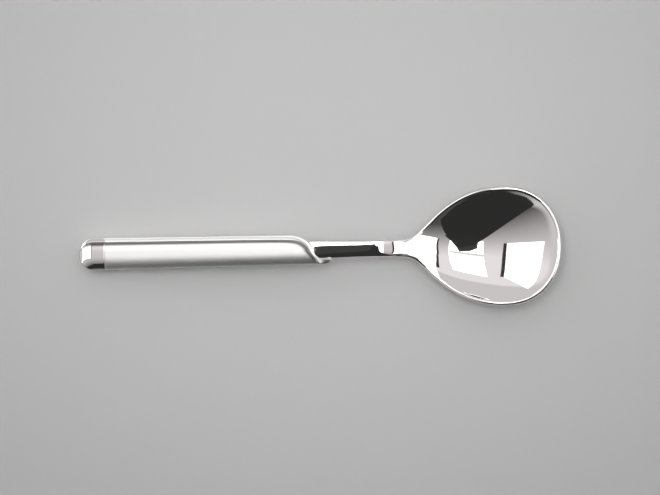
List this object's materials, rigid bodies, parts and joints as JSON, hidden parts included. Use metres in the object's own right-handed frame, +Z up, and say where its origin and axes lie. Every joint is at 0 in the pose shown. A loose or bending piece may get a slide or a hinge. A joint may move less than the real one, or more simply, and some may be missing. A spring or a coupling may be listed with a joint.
{
  "type": "sugar spoon",
  "caption": "Sugar spoon with a round polished bowl, a flat arched neck and a hollow satin handle with a slanted lipped mouth and a polished end cap.",
  "frame": {"origin": "on the table, under the middle of the spoon's length and width as it lies", "axes": "+X towards the tip of the bowl, +Z up out of the bowl, +Y across, towards the handle edge that carries the bead"},
  "size_m": [0.14, 0.0344, 0.011],
  "materials": {
    "polished_steel": "mirror polish",
    "satin_steel": "fine satin",
    "cement": "matte"
  },
  "bodies": {
    "root": {"bowl_and_neck": "polished_steel", "handle_upper_shell": "satin_steel", "handle_lower_shell": "satin_steel", "end_cap": "polished_steel", "handle_core": "cement"}
  },
  "joints": []
}
